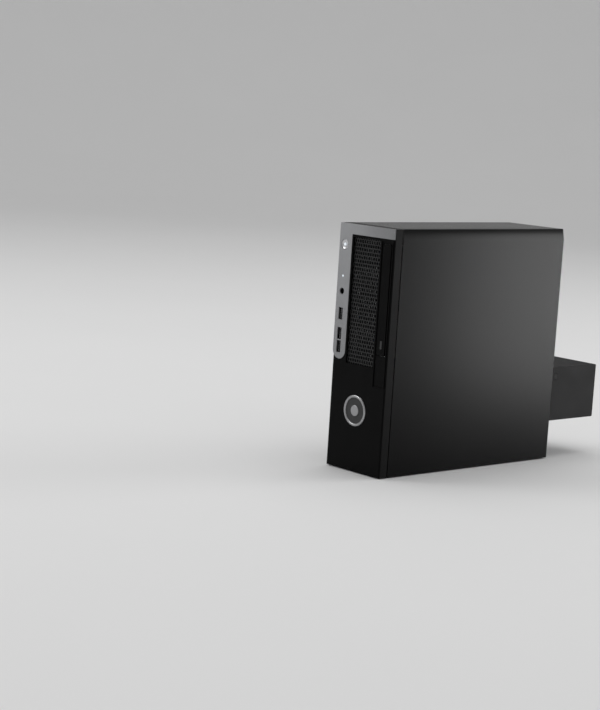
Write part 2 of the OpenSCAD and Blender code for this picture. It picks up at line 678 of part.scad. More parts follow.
// Circuit board of the supply with its coils, capacitors and cooling plates.
module power_supply_board() color([0.55, 0.42, 0.2]) in_case() {
    z0 = psu_lo.z + 5;
    block([psu_lo.x + 3, 150, z0], [psu_hi.x - 3, 262, z0 + 1.6]);
    block([-34, 214, z0 + 1.5], [-2, 244, z0 + 32]);
    block([16, 176, z0 + 1.5], [19, 252, z0 + 38]);
    block([-20, 156, z0 + 1.5], [-17, 204, z0 + 34]);
    for (y = [164, 184, 204]) rod_z(8, z0 + 1.5, z0 + 34, 0, y);
    for (y = [164, 182, 200]) rod_z(6.3, z0 + 1.5, z0 + 24, 30, y);
}

module ac_inlet() color([0.04, 0.04, 0.04]) in_case() difference() {
    block([inlet_x - 14, rear_y - 22, inlet_z - 10.5], [inlet_x + 14, rear_y + 1.6, inlet_z + 10.5]);
    block([inlet_x - 12.2, rear_y - 15, inlet_z - 8.2], [inlet_x + 12.2, rear_y + 3, inlet_z + 8.2]);
}

module ac_inlet_pins() color([0.75, 0.75, 0.76]) in_case() {
    for (p = [[-7, -1.5], [7, -1.5], [0, 2.5]]) {
        block([inlet_x + p[0] - 1, rear_y - 15, inlet_z + p[1] - 2],
            [inlet_x + p[0] + 1, rear_y - 1, inlet_z + p[1] + 2]);
    }
}

module optical_drive_shell() color([0.7, 0.71, 0.72]) in_case() difference() {
    block([drive_x - drive_t / 2, drive_y[0], drive_z - drive_w / 2],
        [drive_x + drive_t / 2, drive_y[1], drive_z + drive_w / 2]);
    block([drive_x - drive_t / 2 + 0.7, drive_y[0] - 1, drive_z - drive_w / 2 + 0.7],
        [drive_x + drive_t / 2 - 0.7, drive_y[1] - 0.7, drive_z + drive_w / 2 - 0.7]);
}

// Tray with a disc pocket, a well for the hub and its own narrow front.
module disc_tray() color([0.07, 0.07, 0.07]) in_case() difference() {
    union() {
        block([drive_x - drive_t / 2, face_y + 0.2, drive_z - drive_w / 2],
            [drive_x + drive_t / 2, 7, drive_z + drive_w / 2]);
        block([drive_x - 4.5, 6, drive_z - drive_w / 2 + 2],
            [drive_x + 3, drive_y[1] - 2, drive_z + drive_w / 2 - 2]);
    }
    rod_x(disc_r, drive_x + 0.5, drive_x + 4, hub_y, drive_z);
    rod_x(9, drive_x - 3, drive_x + 4, hub_y, drive_z);
    block([drive_x - 1.9, -1, eject_z() - 5], [drive_x + 1.9, 6.4, eject_z() + 5]);
}

function eject_z() = drive_z - drive_w / 2 + 12;

module disc_hub() color([0.5, 0.5, 0.52]) in_case() {
    rod_x(8, drive_x - 2.7, drive_x + 1, hub_y, drive_z);
    rod_x(7, drive_x + 0.9, drive_x + 2.6, hub_y, drive_z);
}

module eject_button() color([0.09, 0.09, 0.09]) in_case() block(
    [drive_x - 1.9 + button_gap, face_y - 0.1, eject_z() - 5 + button_gap],
    [drive_x + 1.9 - button_gap, 5.2, eject_z() + 5 - button_gap]);

module hard_drive() color([0.65, 0.66, 0.68]) in_case() {
    block(hdd_lo, [hdd_hi.x - 3, hdd_hi.y, hdd_hi.z]);
    block([hdd_hi.x - 3.1, hdd_lo.y + 4, hdd_lo.z + 4], [hdd_hi.x, hdd_hi.y - 4, hdd_hi.z - 4]);
}

module drive_caddy() color([0.1, 0.2, 0.45]) in_case() {
    for (z = [hdd_lo.z - 4, hdd_hi.z + 0.3]) {
        block([hdd_lo.x + 1, hdd_lo.y - 5, z], [hdd_hi.x - 2, hdd_hi.y, z + 3.7]);
    }
    block([hdd_lo.x + 4, hdd_lo.y - 5, hdd_lo.z - 4], [hdd_hi.x - 4, hdd_lo.y - 2, hdd_hi.z + 4]);
}

// Steel shelf between the two drives, hung from the top wall.
module drive_cage() color([0.6, 0.61, 0.63]) in_case() {
    x0 = hdd_hi.x + 0.3;
    block([x0, 18, 139], [x0 + 1, 172, z_high - 16]);
    for (z = [139, z_high - 17]) block([x0, 30, z], [drive_x + 6, 150, z + 1]);
    for (y = [40, 130]) block([x0, y, z_high - 17], [x0 + 1, y + 18, z_high - steel - 0.1]);
}

front_bezel();
silver_trim();
front_grille();
front_badge();
power_button();
power_led();
drive_led();
headset_jack();
front_usb_shells();
usb_tongues();
front_io_board();
power_switch();
speaker();
chassis_base();
chassis_front_panel();
chassis_rear_panel();
chassis_top_wall();
chassis_bottom_wall();
side_cover();
cover_latch();
bottom_feet();
side_feet();
padlock_loop();
cable_cover();
cable_cover_bracket();
cable_cover_screw();
motherboard();
board_standoffs();
board_screws();
cpu_socket();
cpu_package();
cpu_heatsink();
cpu_fan_frame();
cpu_fan_rotor();
memory_sockets();
memory_modules();
memory_latch_front();
memory_latch_rear();
ssd_module();
coin_cell();
chipset_heatsink();
board_connectors();
slot_blanks();
network_jack();
display_ports();
rear_usb_shells();
rear_audio_jack();
power_supply_case();
power_supply_board();
power_supply_fan_frame();
power_supply_fan_rotor();
ac_inlet();
ac_inlet_pins();
optical_drive_shell();
disc_tray();
disc_hub();
eject_button();
hard_drive();
drive_caddy();
drive_cage();
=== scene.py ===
"""Looks of the small desktop computer: materials for every CAD node, finer pieces, studio and camera."""

import json
import math
from itertools import product

import bmesh
import bpy
from mathutils import Matrix, Vector


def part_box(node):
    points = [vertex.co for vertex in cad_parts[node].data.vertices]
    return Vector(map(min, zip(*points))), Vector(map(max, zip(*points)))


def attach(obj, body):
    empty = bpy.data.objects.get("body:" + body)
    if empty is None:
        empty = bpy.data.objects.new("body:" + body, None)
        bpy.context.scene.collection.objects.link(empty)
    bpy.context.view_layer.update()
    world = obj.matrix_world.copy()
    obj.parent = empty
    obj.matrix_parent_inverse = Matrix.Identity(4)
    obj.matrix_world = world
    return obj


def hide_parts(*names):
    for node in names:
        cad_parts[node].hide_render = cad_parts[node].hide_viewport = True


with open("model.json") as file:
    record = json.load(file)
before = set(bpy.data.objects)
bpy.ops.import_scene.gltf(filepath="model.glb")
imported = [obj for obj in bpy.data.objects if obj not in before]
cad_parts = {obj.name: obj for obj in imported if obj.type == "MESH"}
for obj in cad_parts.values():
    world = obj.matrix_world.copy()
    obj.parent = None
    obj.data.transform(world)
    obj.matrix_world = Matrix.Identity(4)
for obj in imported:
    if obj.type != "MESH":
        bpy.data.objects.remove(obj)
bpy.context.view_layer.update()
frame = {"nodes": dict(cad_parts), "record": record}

MM = 0.001

# ---------------------------------------------------------------- camera

CAMERA_PLACE = (1.5116, -1.6167, 0.4328)
CAMERA_AZIMUTH = 48.54
CAMERA_ELEVATION = 8.16
CAMERA_ROLL = 3.55
SENSOR = 36.0
FOCAL_PIXELS = 1802.2
FRAME_LONG_SIDE = 710


def make_camera():
    """A camera at the photograph's angle: azimuth 0 stands in front and looks along +Y."""
    data = bpy.data.cameras.new("camera")
    data.sensor_width = SENSOR
    data.lens = FOCAL_PIXELS * SENSOR / FRAME_LONG_SIDE
    data.clip_end = 50
    camera = bpy.data.objects.new("camera", data)
    turn = Matrix.Rotation(math.radians(CAMERA_AZIMUTH), 4, "Z")
    tilt = Matrix.Rotation(math.radians(90 - CAMERA_ELEVATION), 4, "X")
    roll = Matrix.Rotation(math.radians(CAMERA_ROLL), 4, "Z")
    camera.matrix_world = Matrix.Translation(CAMERA_PLACE) @ turn @ tilt @ roll
    bpy.context.scene.collection.objects.link(camera)
    bpy.context.scene.camera = camera


make_camera()

# ---------------------------------------------------------------- materials


class Paint:
    """A node material written a few lines at a time. Texture coordinates are the piece's own, in metres."""

    def __init__(self, name, **shader):
        self.material = bpy.data.materials.new(name)
        self.material.use_nodes = True
        self.nodes = self.material.node_tree.nodes
        self.links = self.material.node_tree.links
        self.shader = self.nodes["Principled BSDF"]
        self.coords = self.nodes.new("ShaderNodeTexCoord")
        for key, value in shader.items():
            self.shader.inputs[SOCKETS[key]].default_value = value

    def place(self, size):
        """Coordinates divided by size, in metres along X, Y and Z."""
        mapping = self.nodes.new("ShaderNodeMapping")
        mapping.inputs["Scale"].default_value = [1 / s for s in size]
        self.links.new(self.coords.outputs["Object"], mapping.inputs["Vector"])
        return mapping.outputs["Vector"]

    def noise(self, size, detail=3.0, rough=0.55):
        """Noise whose patches are about size metres; size may be one number or three."""
        three = size if isinstance(size, tuple) else (size,) * 3
        node = self.nodes.new("ShaderNodeTexNoise")
        node.inputs["Scale"].default_value = 1.0
        node.inputs["Detail"].default_value = detail
        node.inputs["Roughness"].default_value = rough
        self.links.new(self.place(three), node.inputs["Vector"])
        return node.outputs["Fac"]

    def cells(self, size, feature="F1", metric="EUCLIDEAN", output="Distance"):
        """Voronoi cells about size metres across."""
        three = size if isinstance(size, tuple) else (size,) * 3
        node = self.nodes.new("ShaderNodeTexVoronoi")
        node.feature = feature
        node.distance = metric
        node.inputs["Scale"].default_value = 1.0
        self.links.new(self.place(three), node.inputs["Vector"])
        return node.outputs[output]

    def ramp(self, value, low, high, start=0.0, end=1.0):
        """value mapped from low..high to start..end, clamped."""
        node = self.nodes.new("ShaderNodeMapRange")
        node.inputs["From Min"].default_value = low
        node.inputs["From Max"].default_value = high
        node.inputs["To Min"].default_value = start
        node.inputs["To Max"].default_value = end
        self.links.new(value, node.inputs["Value"])
        return node.outputs["Result"]

    def mix(self, factor, dark, light):
        """A colour between dark and light; either may be a colour or a socket."""
        node = self.nodes.new("ShaderNodeMix")
        node.data_type = "RGBA"
        self.links.new(factor, node.inputs["Factor"])
        for socket, colour in (("A", dark), ("B", light)):
            target = next(i for i in node.inputs if i.name == socket and i.type == "RGBA")
            if isinstance(colour, bpy.types.NodeSocket):
                self.links.new(colour, target)
            else:
                target.default_value = (*colour, 1)
        return next(o for o in node.outputs if o.type == "RGBA")

    def maths(self, operation, a, b):
        node = self.nodes.new("ShaderNodeMath")
        node.operation = operation
        for socket, value in zip(node.inputs, (a, b)):
            if isinstance(value, bpy.types.NodeSocket):
                self.links.new(value, socket)
            else:
                socket.default_value = value
        return node.outputs["Value"]

    def colour(self, socket):
        self.links.new(socket, self.shader.inputs["Base Color"])
        return self

    def roughness(self, socket):
        self.links.new(socket, self.shader.inputs["Roughness"])
        return self

    def bump(self, *layers):
        """Bump from (value, height in metres) layers, the last one on top."""
        below = None
        for value, height in layers:
            node = self.nodes.new("ShaderNodeBump")
            node.inputs["Strength"].default_value = 1.0
            node.inputs["Distance"].default_value = height
            self.links.new(value, node.inputs["Height"])
            if below:
                self.links.new(below, node.inputs["Normal"])
            below = node.outputs["Normal"]
        self.links.new(below, self.shader.inputs["Normal"])
        return self


SOCKETS = {
    "rough": "Roughness",
    "metal": "Metallic",
    "coat": "Coat Weight",
    "coat_rough": "Coat Roughness",
    "specular": "Specular IOR Level",
    "glow": "Emission Color",
    "glow_strength": "Emission Strength",
}


def grey(v, tint=(1.0, 1.0, 1.0)):
    return tuple(v * t for t in tint)


def moulded(name, tone, rough, grain=0.00055, depth=0.000018, tint=(1, 1, 1.03), **shader):
    """Moulded plastic with a spark-eroded grain, faint flow marks and handling haze."""
    p = Paint(name, metal=0.0, **shader)
    haze = p.noise(0.045, 4.0, 0.6)
    fine = p.noise(grain, 2.0, 0.5)
    p.colour(p.mix(p.ramp(haze, 0.35, 0.7), grey(tone * 0.82, tint), grey(tone * 1.18, tint)))
    p.roughness(p.maths("ADD", p.ramp(haze, 0.3, 0.7, rough - 0.05, rough + 0.06),
                        p.ramp(fine, 0.3, 0.7, -0.03, 0.03)))
    p.bump((p.noise(0.02, 2.0, 0.4), 0.00006), (fine, depth))
    return p.material


def powder_coat(name, tone, rough, tint=(1, 1.01, 1.04)):
    """Powder coat on sheet steel: fine pebbles over a faint roll of the sheet."""
    p = Paint(name, metal=0.0, specular=0.06)
    pebbles = p.cells(0.0007, "SMOOTH_F1")
    haze = p.noise(0.16, 3.0, 0.5)
    p.colour(p.mix(p.ramp(haze, 0.3, 0.7), grey(tone * 0.9, tint), grey(tone * 1.1, tint)))
    p.roughness(p.maths("ADD", p.ramp(haze, 0.3, 0.7, rough - 0.008, rough + 0.01),
                        p.ramp(pebbles, 0.0, 0.8, -0.02, 0.02)))
    p.bump((p.noise((0.12, 0.2, 0.12), 1.0, 0.3), 0.00006), (pebbles, 0.000012))
    return p.material


def metallic_paint(name, tone, rough, tint=(0.99, 1.0, 1.03)):
    """Silver paint: bright flakes in a clear film.

    Painted light: its tone falls towards the right and the bottom, a painted highlight that is brightest at
    the upper left.
    """
    p = Paint(name, metal=0.75, coat=0.25, coat_rough=0.25)
    flakes = p.cells(0.00028, "F1", output="Color")
    haze = p.noise(0.03, 4.0, 0.6)
    across = p.nodes.new("ShaderNodeSeparateXYZ")
    p.links.new(p.coords.outputs["Object"], across.inputs["Vector"])
    # Painted highlight: the colour darkens towards the right (X) and the bottom (Z), as if lit from the
    # upper left.
    painted_highlight_falloff = p.maths("MULTIPLY", p.ramp(across.outputs["X"], -0.03, 0.046, 1.0, 0.38),
                   p.ramp(across.outputs["Z"], 0.14, 0.26, 0.6, 1.0))
    even = p.mix(p.ramp(haze, 0.3, 0.7), grey(tone * 0.93, tint), grey(tone * 1.06, tint))
    base = p.mix(painted_highlight_falloff, grey(tone * 0.3, tint), even)
    sparkle = p.nodes.new("ShaderNodeSeparateColor")
    p.links.new(flakes, sparkle.inputs["Color"])
    p.colour(p.mix(p.ramp(sparkle.outputs["Red"], 0.0, 1.0, 0.0, 0.3), base, grey(tone * 1.2, tint)))
    p.roughness(p.ramp(sparkle.outputs["Green"], 0.0, 1.0, rough - 0.07, rough + 0.09))
    p.bump((p.noise(0.0009, 2.0, 0.5), 0.000008), (sparkle.outputs["Blue"], 0.000003))
    return p.material


def zinc_sheet(name, tone, rough, spangle=0.006):
    """Zinc coated sheet: crystal spangle, rolling lines and dull patches."""
    p = Paint(name, metal=1.0)
    crystals = p.cells(spangle, "F1", output="Color")
    split = p.nodes.new("ShaderNodeSeparateColor")
    p.links.new(crystals, split.inputs["Color"])
    rolled = p.noise((0.0006, 0.05, 0.0006), 3.0, 0.6)
    haze = p.noise(0.04, 5.0, 0.6)
    p.colour(p.mix(p.ramp(split.outputs["Red"], 0.0, 1.0), grey(tone * 0.95, (1, 1.01, 1.03)),
                   grey(tone * 1.04, (1, 1.01, 1.03))))
    p.roughness(p.maths("ADD", p.ramp(haze, 0.3, 0.7, rough - 0.06, rough + 0.08),
                        p.ramp(split.outputs["Green"], 0, 1, -0.05, 0.05)))
    p.bump((rolled, 0.000012), (split.outputs["Blue"], 0.000006))
    return p.material


def machined(name, tone, rough, lines=(0.0004, 0.0004, 0.03), tint=(1, 1, 1.02), metal=1.0):
    """Bare metal with fine lines along its long axis."""
    p = Paint(name, metal=metal)
    streak = p.noise(lines, 4.0, 0.65)
    haze = p.noise(0.012, 4.0, 0.6)
    p.colour(p.mix(p.ramp(streak, 0.3, 0.7), grey(tone * 0.9, tint), grey(tone * 1.08, tint)))
    p.roughness(p.maths("ADD", p.ramp(haze, 0.3, 0.7, rough - 0.06, rough + 0.08),
                        p.ramp(streak, 0.3, 0.7, -0.05, 0.05)))
    p.bump((streak, 0.000008), (haze, 0.00001))
    return p.material


def circuit_board(name, mask, copper):
    """Solder mask over copper tracks, with plated holes."""
    p = Paint(name, metal=0.0, coat=0.5, coat_rough=0.18, rough=0.4)
    tracks = p.cells((0.02, 0.0042, 0.0042), "DISTANCE_TO_EDGE", "CHEBYCHEV")
    fine = p.cells((0.02, 0.0016, 0.0052), "DISTANCE_TO_EDGE", "CHEBYCHEV")
    line = p.maths("MAXIMUM", p.ramp(tracks, 0.05, 0.07, 1, 0), p.ramp(fine, 0.07, 0.1, 1, 0))
    vias = p.ramp(p.cells((0.02, 0.0031, 0.0031), "F1"), 0.12, 0.14, 1, 0)
    base = p.mix(line, mask, grey(1.0, copper))
    p.colour(p.mix(vias, base, (0.55, 0.45, 0.22)))
    p.bump((line, 0.00003), (p.noise(0.002), 0.00001))
    return p.material


def rubber(name):
    p = Paint(name, metal=0.0, specular=0.3)
    fine = p.noise(0.0006, 3.0, 0.6)
    dust = p.noise(0.006, 4.0, 0.6)
    p.colour(p.mix(p.ramp(dust, 0.45, 0.75), (0.012, 0.012, 0.012), (0.04, 0.039, 0.036)))
    p.roughness(p.ramp(fine, 0.3, 0.7, 0.72, 0.88))
    p.bump((fine, 0.00004))
    return p.material


def light_guide(name):
    """Frosted lens lit from behind."""
    p = Paint(name, metal=0.0, rough=0.25, glow=(0.85, 0.93, 1.0, 1), glow_strength=0.3)
    haze = p.noise(0.0008, 3.0, 0.5)
    p.colour(p.mix(p.ramp(haze, 0.3, 0.7), (0.7, 0.76, 0.82), (0.9, 0.94, 0.98)))
    p.bump((haze, 0.00001))
    return p.material


MATERIALS = {
    "bezel_plastic": moulded("bezel_plastic", 0.0025, 0.4, specular=0.05),
    "grille_plastic": moulded("grille_plastic", 0.009, 0.36, specular=0.35),
    "trim_silver": metallic_paint("trim_silver", 0.33, 0.36),
    "badge_metal": machined("badge_metal", 0.36, 0.3, (0.0008, 0.02, 0.0008)),
    "button_silver": machined("button_silver", 0.58, 0.22, (0.003, 0.003, 0.003), metal=0.9),
    "clear_lens": light_guide("clear_lens"),
    "cover_paint": powder_coat("cover_paint", 0.002, 0.24),
    "sheet_steel": zinc_sheet("sheet_steel", 0.5, 0.36),
    "black_plastic": moulded("black_plastic", 0.016, 0.45),
    "hood_plastic": moulded("hood_plastic", 0.008, 0.5, 0.0009, 0.00003, specular=0.08),
    "port_metal": machined("port_metal", 0.66, 0.24, (0.0004, 0.01, 0.0004)),
    "contact_plastic": moulded("contact_plastic", 0.012, 0.4, 0.0003, 0.000008),
    "circuit_board": circuit_board("circuit_board", (0.008, 0.05, 0.022), (0.03, 0.14, 0.06)),
    "ssd_board": circuit_board("ssd_board", (0.006, 0.02, 0.07), (0.02, 0.06, 0.16)),
    "supply_board": circuit_board("supply_board", (0.3, 0.2, 0.08), (0.42, 0.3, 0.14)),
    "heatsink_metal": machined("heatsink_metal", 0.72, 0.3, (0.0004, 0.03, 0.0004)),
    "fan_plastic": moulded("fan_plastic", 0.02, 0.38),
    "drive_metal": machined("drive_metal", 0.55, 0.4, (0.002, 0.002, 0.002)),
    "caddy_plastic": moulded("caddy_plastic", 0.1, 0.42, tint=(0.35, 0.75, 2.2)),
    "latch_plastic": moulded("latch_plastic", 0.1, 0.4, tint=(0.35, 0.75, 2.2)),
    "socket_plastic": moulded("socket_plastic", 0.025, 0.42),
    "pale_plastic": moulded("pale_plastic", 0.6, 0.45),
    "brass_post": machined("brass_post", 0.55, 0.3, (0.0004, 0.004, 0.0004), (1.2, 0.95, 0.5)),
    "screw_steel": machined("screw_steel", 0.55, 0.28, (0.001, 0.001, 0.001)),
    "cell_steel": machined("cell_steel", 0.65, 0.25, (0.001, 0.006, 0.001)),
    "audio_plastic": moulded("audio_plastic", 0.12, 0.4, tint=(0.5, 1.6, 0.7)),
    "foot_rubber": rubber("foot_rubber"),
}

# ---------------------------------------------------------------- CAD nodes

BEVELS = {
    "front_bezel": 0.7,
    "silver_trim": 0.35,
    "side_cover": 0.45,
    "cable_cover": 0.9,
    "disc_tray": 0.35,
    "eject_button": 0.3,
    "chassis_top_wall": 0.25,
    "chassis_bottom_wall": 0.25,
    "chassis_rear_panel": 0.12,
    "chassis_base": 0.3,
    "bottom_feet": 0.4,
    "side_feet": 0.3,
    "cover_latch": 0.4,
    "padlock_loop": 0.3,
    "ac_inlet": 0.4,
    "rear_usb_shells": 0.12,
    "front_usb_shells": 0.12,
    "usb_tongues": 0.2,
    "headset_jack": 0.2,
    "network_jack": 0.3,
    "display_ports": 0.2,
    "slot_blanks": 0.2,
    "cable_cover_screw": 0.25,
    "cable_cover_bracket": 0.2,
    "cpu_heatsink": 0.1,
    "hard_drive": 0.8,
    "memory_modules": 0.1,
    "board_connectors": 0.3,
    "cpu_fan_frame": 0.4,
    "power_supply_fan_frame": 0.4,
    "speaker": 0.6,
    "optical_drive_shell": 0.3,
    "drive_caddy": 0.5,
    "drive_cage": 0.2,
    "chassis_front_panel": 0.15,
}


def soften(piece, width):
    """Rounds the piece's edges by width millimetres and shades it smoothly."""
    weld = piece.modifiers.new("weld", "WELD")
    weld.merge_threshold = 1e-6
    flat = piece.modifiers.new("flat", "DECIMATE")
    flat.decimate_type = "DISSOLVE"
    flat.angle_limit = math.radians(0.3)
    bevel = piece.modifiers.new("bevel", "BEVEL")
    bevel.width = width * MM
    bevel.segments = 3
    bevel.limit_method = "ANGLE"
    bevel.angle_limit = math.radians(28)
    bevel.use_clamp_overlap = True
    shade = piece.modifiers.new("shade", "WEIGHTED_NORMAL")
    shade.keep_sharp = True
    for polygon in piece.data.polygons:
        polygon.use_smooth = True


def dress_nodes():
    for sub in frame["record"]["subparts"]:
        node = frame["nodes"][sub["node"]]
        node.data.materials.clear()
        node.data.materials.append(MATERIALS[sub["material_slot"]])
        if sub["node"] in BEVELS:
            soften(node, BEVELS[sub["node"]])


dress_nodes()

# ---------------------------------------------------------------- mesh tools


def new_piece(name, bm, slot, body, *replaced):
    """Turns a bmesh drawn in metres into a shown piece on a body."""
    mesh = bpy.data.meshes.new(name)
    bmesh.ops.recalc_face_normals(bm, faces=bm.faces)
    bm.to_mesh(mesh)
    bm.free()
    for polygon in mesh.polygons:
        polygon.use_smooth = True
    piece = bpy.data.objects.new(name, mesh)
    bpy.context.scene.collection.objects.link(piece)
    mesh.materials.append(MATERIALS[slot])
    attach(piece, body)
    if replaced:
        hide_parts(*replaced)
    return piece


def lathe(bm, profile, place, steps=64):
    """Revolves (radius, height) points about the local Z of place. The ends close on the axis."""
    rings = []
    for radius, height in profile:
        if radius < 1e-9:
            rings.append([bm.verts.new(place @ Vector((0, 0, height)))])
            continue
        turn = [2 * math.pi * k / steps for k in range(steps)]
        rings.append([bm.verts.new(place @ Vector((radius * math.cos(a), radius * math.sin(a), height)))
                      for a in turn])
    for low, high in zip(rings, rings[1:]):
        for k in range(steps):
            nxt = k + 1
            quad = [low[k % len(low)], low[nxt % len(low)], high[nxt % len(high)], high[k % len(high)]]
            corners = list(dict.fromkeys(quad))
            if len(corners) > 2:
                bm.faces.new(corners)


def facing_front(x, y, z):
    """A place whose local Z points out of the front, along -Y."""
    return Matrix.Translation((x, y, z)) @ Matrix.Rotation(math.radians(90), 4, "X")


# ---------------------------------------------------------------- front pieces


def honeycomb(name, slot, body, window, front, thickness, cell, rib, *replaced, tall=1.35):
    """A plate of hexagonal holes, stretched upwards by tall, that covers window (x0, z0, x1, z1).

    Its face is at y = front. Cell is a hole's radius to the middle of the ribs, and rib the width of a rib.
    """
    x0, z0, x1, z1 = window
    pitch_x = cell * math.sqrt(3)
    pitch_z = cell * 1.5 * tall
    bm = bmesh.new()
    known = {}

    def vertex(x, y, z):
        key = (round(x * 1e6), round(y * 1e6), round(z * 1e6))
        if key not in known:
            known[key] = bm.verts.new((x, y, z))
        return known[key]

    def hexagon(cx, cz, radius, y):
        """Six corners about radius metres from the centre."""
        angles = [math.radians(90 + 60 * k) for k in range(6)]
        return [vertex(cx + radius * math.cos(a), y, cz + radius * math.sin(a) * tall) for a in angles]

    chamfer = rib * 0.45
    rows = math.ceil((z1 - z0) / pitch_z)
    columns = math.ceil((x1 - x0) / pitch_x)
    for row in range(rows + 1):
        for column in range(columns + 1):
            cx = x0 + (column + 0.5 * (row % 2)) * pitch_x
            cz = z0 + row * pitch_z
            if cx > x1 + pitch_x * 0.3:
                continue
            rings = [hexagon(cx, cz, cell, front),
                     hexagon(cx, cz, cell - rib * 0.55, front),
                     hexagon(cx, cz, cell - rib, front + chamfer),
                     hexagon(cx, cz, cell - rib, front + thickness),
                     hexagon(cx, cz, cell, front + thickness)]
            for outer, inner in zip(rings, rings[1:]):
                for k in range(6):
                    bm.faces.new((outer[k], outer[(k + 1) % 6], inner[(k + 1) % 6], inner[k]))
    piece = new_piece(name, bm, slot, body, *replaced)
    piece.data.set_sharp_from_angle(angle=math.radians(25))
    return piece


def make_grille():
    """The grille's plate, pierced all over, in place of the plain CAD plate."""
    lo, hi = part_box("front_grille")
    margin = 1.2 * MM
    window = (lo.x + margin, lo.z + margin, hi.x - margin, hi.z - margin)
    thickness, cell, rib = 2.2 * MM, 2.3 * MM, 0.75 * MM
    honeycomb("grille_mesh", "grille_plastic", "bezel", window, lo.y, thickness, cell, rib, "front_grille")


make_grille()


def make_badge():
    """Slim rounded ring, dark field and a plain domed disc. Heights are above the CAD face."""
    lo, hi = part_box("front_badge")
    radius = (hi.x - lo.x) / 2
    place = facing_front((lo.x + hi.x) / 2, lo.y, (lo.z + hi.z) / 2)
    ring_in = radius - 3.3 * MM
    disc = 6.4 * MM
    mid = (radius + ring_in) / 2
    half = (radius - ring_in) / 2
    crest = [(mid + half * math.cos(math.radians(a)), -1.0 * MM + 1.0 * MM * math.sin(math.radians(a)))
             for a in range(180, -1, -15)]
    bm = bmesh.new()
    lathe(bm, [(ring_in, -1.5 * MM), *crest, (radius, -1.5 * MM), (ring_in, -1.5 * MM)], place, 120)
    bmesh.ops.remove_doubles(bm, verts=bm.verts, dist=1e-7)
    new_piece("badge_ring", bm, "badge_metal", "badge")

    dome = [(disc * math.sin(math.radians(a)), -0.75 * MM + 0.55 * MM * math.cos(math.radians(a)))
            for a in range(0, 91, 10)]
    bm = bmesh.new()
    lathe(bm, [*dome, (disc, -1.3 * MM), (0, -1.3 * MM)], place, 72)
    new_piece("badge_disc", bm, "badge_metal", "badge")

    bm = bmesh.new()
    stem, back = 4.4 * MM, lo.y - hi.y
    profile = [(0, -1.0 * MM), (6.2 * MM, -1.0 * MM), (6.8 * MM, -1.15 * MM),
               (ring_in - 0.5 * MM, -1.15 * MM), (ring_in + 0.2 * MM, -1.05 * MM),
               (radius - 0.2 * MM, -1.55 * MM), (stem, -1.55 * MM), (stem, back), (0, back)]
    lathe(bm, profile, place, 96)
    piece = new_piece("badge_field", bm, "black_plastic", "badge", "front_badge")
    piece.data.set_sharp_from_angle(angle=math.radians(35))


make_badge()


def make_power_button():
    """Dished cap with a bright rim, open in the middle for the light guide."""
    lo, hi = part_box("power_button")
    led_lo, led_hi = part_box("power_led")
    bore = (led_hi.x - led_lo.x) / 2 + 0.05 * MM
    place = facing_front((lo.x + hi.x) / 2, lo.y, (lo.z + hi.z) / 2)
    rim, flange, stem = 5.7 * MM, 6.6 * MM, 2.6 * MM
    back, floor_of_bore = lo.y - hi.y, -7 * MM
    bm = bmesh.new()
    profile = [(bore, floor_of_bore), (bore, -0.75 * MM)]
    for share in (0.1, 0.4, 0.7, 1.0):
        profile.append((bore + (rim - 0.9 * MM - bore) * share, -0.7 * MM + 0.45 * MM * share * share))
    profile += [(rim - 0.6 * MM, -0.05 * MM), (rim - 0.35 * MM, 0), (rim - 0.1 * MM, -0.12 * MM),
                (rim, -0.4 * MM), (rim, -3 * MM), (flange, -3 * MM), (flange, -4.2 * MM),
                (stem, -4.2 * MM), (stem, back), (0, back), (0, floor_of_bore), (bore, floor_of_bore)]
    lathe(bm, profile, place, 72)
    bmesh.ops.remove_doubles(bm, verts=bm.verts, dist=1e-7)
    new_piece("power_button_cap", bm, "button_silver", "power_button", "power_button")


make_power_button()


def facing_rear(x, y, z):
    """A place whose local Z points out of the rear, along +Y."""
    return Matrix.Translation((x, y, z)) @ Matrix.Rotation(math.radians(-90), 4, "X")


def bar(bm, lo, hi):
    """A closed box between two corners."""
    corners = [bm.verts.new(corner) for corner in product(*zip(lo, hi))]
    for face in ((0, 1, 3, 2), (4, 6, 7, 5), (0, 4, 5, 1), (2, 3, 7, 6), (0, 2, 6, 4), (1, 5, 7, 3)):
        bm.faces.new([corners[k] for k in face])


def port_contacts():
    """Four plated strips on the tongue of each front USB socket."""
    front_lo, front_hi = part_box("front_usb_shells")
    x = (front_lo.x + front_hi.x) / 2
    tongue = x - 0.9 * MM
    near, far = front_lo.y + 2.3 * MM, front_lo.y + 8 * MM
    half_length = 6.75 * MM
    bm = bmesh.new()
    for z in (front_lo.z + half_length, front_lo.z + 22.25 * MM, front_hi.z - half_length):
        for k in range(4):
            centre = z + (k - 1.5) * 2.3 * MM
            bar(bm, (tongue + 1.83 * MM, near, centre - 0.5 * MM),
                (tongue + 1.96 * MM, far, centre + 0.5 * MM))
    piece = new_piece("usb_contact_strips", bm, "port_metal", "chassis")
    piece.data.set_sharp_from_angle(angle=math.radians(30))


def jack_ring():
    """Collar round the mouth of the headset socket."""
    lo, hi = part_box("headset_jack")
    button_lo, button_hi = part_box("power_button")
    x = button_lo.x / 2 + button_hi.x / 2
    z = (lo.z + hi.z) / 2
    bm = bmesh.new()
    profile = [(2.0 * MM, 0.22 * MM), (2.3 * MM, 0.35 * MM), (3.0 * MM, 0.35 * MM), (3.25 * MM, 0.12 * MM),
               (3.3 * MM, 0.02 * MM), (1.85 * MM, 0.02 * MM), (2.0 * MM, 0.22 * MM)]
    lathe(bm, profile, facing_front(x, lo.y, z), 64)
    bmesh.ops.remove_doubles(bm, verts=bm.verts, dist=1e-7)
    new_piece("headset_collar", bm, "black_plastic", "chassis")


port_contacts()
jack_ring()


